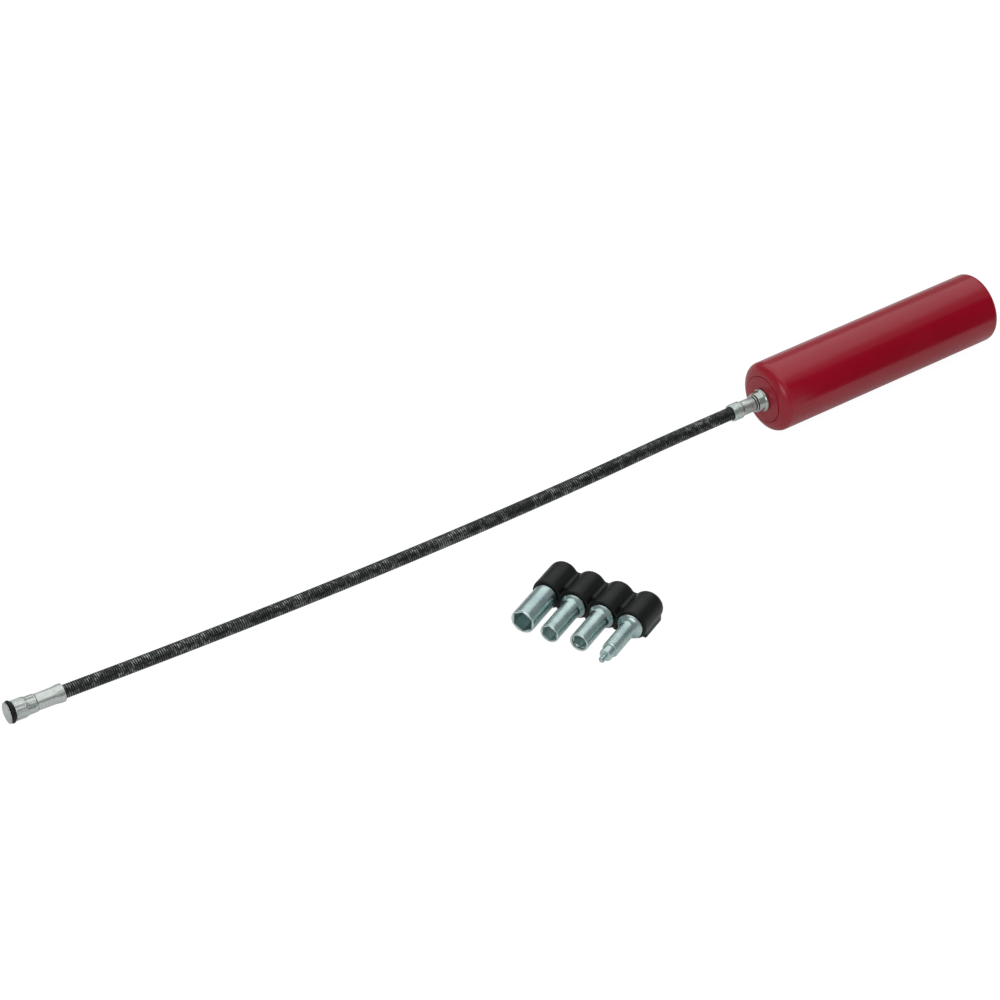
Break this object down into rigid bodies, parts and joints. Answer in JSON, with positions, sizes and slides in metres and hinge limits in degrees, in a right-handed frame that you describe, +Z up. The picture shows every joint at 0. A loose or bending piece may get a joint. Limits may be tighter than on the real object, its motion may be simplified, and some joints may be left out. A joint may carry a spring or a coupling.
{
  "type": "magnetic pickup tool",
  "caption": "Flexible-shaft magnetic pickup tool: a thick red grip drives a socket nose with a pull-out magnet through a black coiled casing, with a rubber strip of spare driver tips.",
  "frame": {"origin": "centre of the flat butt face of the handle", "axes": "+X out of the butt along the handle, -X along the shaft to the magnet, +Z up, away from the surface that the tool lies on"},
  "size_m": [0.4961, 0.1194, 0.032],
  "materials": {
    "red_plastic": "glossy moulded deep red plastic, faint orange peel and handling scuffs",
    "zinc": "zinc-plated turned steel, satin with fine turning lines",
    "tip_zinc": "bright zinc plate with a cool blue cast over machining marks",
    "polished_nickel": "polished nickel plate",
    "black_wire": "black oxide spring wire, satin, worn bright on the crowns",
    "bare_steel": "oiled bare steel",
    "bronze": "machined bronze",
    "magnet": "grey coated magnet",
    "black_rubber": "moulded black rubber with a soft sheen"
  },
  "bodies": {
    "handle": {"handle_shell": "red_plastic", "handle_plug": "red_plastic", "bearing_bush": "polished_nickel", "thrust_washer": "polished_nickel", "drive_block": "bronze", "cable_anchor": "bare_steel", "cable_rear": "bare_steel"},
    "casing_base": {"rear_ferrule": "zinc", "ferrule_clip": "zinc", "casing_1": "black_wire"},
    "casing_link_2": {"casing_2": "black_wire"},
    "casing_link_3": {"casing_3": "black_wire"},
    "casing_link_4": {"casing_4": "black_wire"},
    "casing_link_5": {"casing_5": "black_wire"},
    "casing_link_6": {"casing_6": "black_wire"},
    "casing_link_7": {"casing_7": "black_wire"},
    "casing_link_8": {"casing_8": "black_wire"},
    "casing_link_9": {"casing_9": "black_wire", "front_ferrule": "zinc"},
    "cable_link_1": {"cable_1": "bare_steel"},
    "cable_link_2": {"cable_2": "bare_steel"},
    "cable_link_3": {"cable_3": "bare_steel"},
    "cable_link_4": {"cable_4": "bare_steel"},
    "cable_link_5": {"cable_5": "bare_steel"},
    "cable_link_6": {"cable_6": "bare_steel"},
    "cable_link_7": {"cable_7": "bare_steel"},
    "cable_link_8": {"cable_8": "bare_steel"},
    "socket": {"socket_sleeve": "zinc", "cable_9": "bare_steel"},
    "magnet_tip": {"tip_shank": "zinc", "magnet_core": "magnet", "pole_cap": "polished_nickel", "tip_o_ring": "black_rubber"},
    "tip_strip": {"tip_holder": "black_rubber"},
    "large_socket": {"large_socket_tip": "tip_zinc"},
    "medium_socket": {"medium_socket_tip": "tip_zinc"},
    "small_socket": {"small_socket_tip": "tip_zinc"},
    "pin": {"pin_tip": "tip_zinc"}
  },
  "joints": [
    {"name": "casing_turn", "type": "hinge", "parent": "handle", "child": "casing_base", "pos_m": [-0.1242, 0, 0], "axis": [1, 0, 0], "continuous": true},
    {"name": "bend_1", "type": "hinge", "parent": "casing_base", "child": "casing_link_2", "pos_m": [-0.1788, 0, 0], "axis": [0.0151, 0.9999, 0], "range_deg": [-22.5, 22.5], "stiffness_Nm_per_rad": 9, "springref_deg": 0.63},
    {"name": "bend_2", "type": "hinge", "parent": "casing_link_2", "child": "casing_link_3", "pos_m": [-0.21532, 0.0011, -0.00196], "axis": [0.0389, 0.9992, 0], "range_deg": [-22.5, 22.5], "stiffness_Nm_per_rad": 9, "springref_deg": 0.5},
    {"name": "bend_3", "type": "hinge", "parent": "casing_link_3", "child": "casing_link_4", "pos_m": [-0.25183, 0.00284, -0.00398], "axis": [0.0524, 0.9986, 0], "range_deg": [-22.5, 22.5], "stiffness_Nm_per_rad": 9, "springref_deg": 0.39},
    {"name": "bend_4", "type": "hinge", "parent": "casing_link_4", "child": "casing_link_5", "pos_m": [-0.28832, 0.00493, -0.00573], "axis": [0.0609, 0.9981, 0], "range_deg": [-22.5, 22.5], "stiffness_Nm_per_rad": 9, "springref_deg": 0.29},
    {"name": "bend_5", "type": "hinge", "parent": "casing_link_5", "child": "casing_link_6", "pos_m": [-0.32481, 0.00729, -0.00721], "axis": [0.0678, 0.9977, 0], "range_deg": [-22.5, 22.5], "stiffness_Nm_per_rad": 9, "springref_deg": 0.2},
    {"name": "bend_6", "type": "hinge", "parent": "casing_link_6", "child": "casing_link_7", "pos_m": [-0.3613, 0.00989, -0.00844], "axis": [0.0738, 0.9973, 0], "range_deg": [-22.5, 22.5], "stiffness_Nm_per_rad": 9, "springref_deg": 0.13},
    {"name": "bend_7", "type": "hinge", "parent": "casing_link_7", "child": "casing_link_8", "pos_m": [-0.39777, 0.01269, -0.00943], "axis": [0.0792, 0.9969, 0], "range_deg": [-22.5, 22.5], "stiffness_Nm_per_rad": 9, "springref_deg": 0.07},
    {"name": "bend_8", "type": "hinge", "parent": "casing_link_8", "child": "casing_link_9", "pos_m": [-0.43424, 0.01568, -0.01019], "axis": [0.0842, 0.9965, 0], "range_deg": [-22.5, 22.5], "stiffness_Nm_per_rad": 9, "springref_deg": 0.03},
    {"name": "cable_spin_1", "type": "hinge", "parent": "casing_base", "child": "cable_link_1", "pos_m": [-0.1788, 0, 0], "axis": [1, 0, 0], "continuous": true},
    {"name": "cable_spin_2", "type": "hinge", "parent": "casing_link_2", "child": "cable_link_2", "pos_m": [-0.21532, 0.0011, -0.00196], "axis": [0.9981, -0.0301, 0.0535], "continuous": true},
    {"name": "cable_spin_3", "type": "hinge", "parent": "casing_link_3", "child": "cable_link_3", "pos_m": [-0.25183, 0.00284, -0.00398], "axis": [0.9973, -0.0475, 0.0552], "continuous": true},
    {"name": "cable_spin_4", "type": "hinge", "parent": "casing_link_4", "child": "cable_link_4", "pos_m": [-0.28832, 0.00493, -0.00573], "axis": [0.9972, -0.0571, 0.0479], "continuous": true},
    {"name": "cable_spin_5", "type": "hinge", "parent": "casing_link_5", "child": "cable_link_5", "pos_m": [-0.32481, 0.00729, -0.00721], "axis": [0.9971, -0.0645, 0.0405], "continuous": true},
    {"name": "cable_spin_6", "type": "hinge", "parent": "casing_link_6", "child": "cable_link_6", "pos_m": [-0.3613, 0.00989, -0.00844], "axis": [0.9969, -0.0709, 0.0335], "continuous": true},
    {"name": "cable_spin_7", "type": "hinge", "parent": "casing_link_7", "child": "cable_link_7", "pos_m": [-0.39777, 0.01269, -0.00943], "axis": [0.9967, -0.0766, 0.027], "continuous": true},
    {"name": "cable_spin_8", "type": "hinge", "parent": "casing_link_8", "child": "cable_link_8", "pos_m": [-0.43424, 0.01568, -0.01019], "axis": [0.9964, -0.0818, 0.0207], "continuous": true},
    {"name": "socket_turn", "type": "hinge", "parent": "casing_link_9", "child": "socket", "pos_m": [-0.4958, 0.02103, -0.0111], "axis": [0.9961, -0.0866, 0.0148], "continuous": true},
    {"name": "magnet_pull", "type": "slide", "parent": "socket", "child": "magnet_tip", "axis": [-0.9961, 0.0866, -0.0148], "range_m": [0, 0.012]},
    {"name": "strip_lift", "type": "slide", "parent": "handle", "child": "tip_strip", "axis": [0, 0, 1], "range_m": [0, 0.04]},
    {"name": "large_socket_pull", "type": "slide", "parent": "tip_strip", "child": "large_socket", "axis": [-0.91, -0.4147, 0], "range_m": [0, 0.0125]},
    {"name": "medium_socket_pull", "type": "slide", "parent": "tip_strip", "child": "medium_socket", "axis": [-0.91, -0.4147, 0], "range_m": [0, 0.0125]},
    {"name": "small_socket_pull", "type": "slide", "parent": "tip_strip", "child": "small_socket", "axis": [-0.91, -0.4147, 0], "range_m": [0, 0.0125]},
    {"name": "pin_pull", "type": "slide", "parent": "tip_strip", "child": "pin", "axis": [-0.91, -0.4147, 0], "range_m": [0, 0.0125]}
  ],
  "couplings": [
    {"joint": "bend_2", "follows": "bend_1", "ratio": 1},
    {"joint": "bend_3", "follows": "bend_1", "ratio": 1},
    {"joint": "bend_4", "follows": "bend_1", "ratio": 1},
    {"joint": "bend_5", "follows": "bend_1", "ratio": 1},
    {"joint": "bend_6", "follows": "bend_1", "ratio": 1},
    {"joint": "bend_7", "follows": "bend_1", "ratio": 1},
    {"joint": "bend_8", "follows": "bend_1", "ratio": 1},
    {"joint": "cable_spin_1", "follows": "casing_turn", "ratio": -1},
    {"joint": "cable_spin_2", "follows": "casing_turn", "ratio": -1},
    {"joint": "cable_spin_3", "follows": "casing_turn", "ratio": -1},
    {"joint": "cable_spin_4", "follows": "casing_turn", "ratio": -1},
    {"joint": "cable_spin_5", "follows": "casing_turn", "ratio": -1},
    {"joint": "cable_spin_6", "follows": "casing_turn", "ratio": -1},
    {"joint": "cable_spin_7", "follows": "casing_turn", "ratio": -1},
    {"joint": "cable_spin_8", "follows": "casing_turn", "ratio": -1},
    {"joint": "socket_turn", "follows": "casing_turn", "ratio": -1}
  ]
}
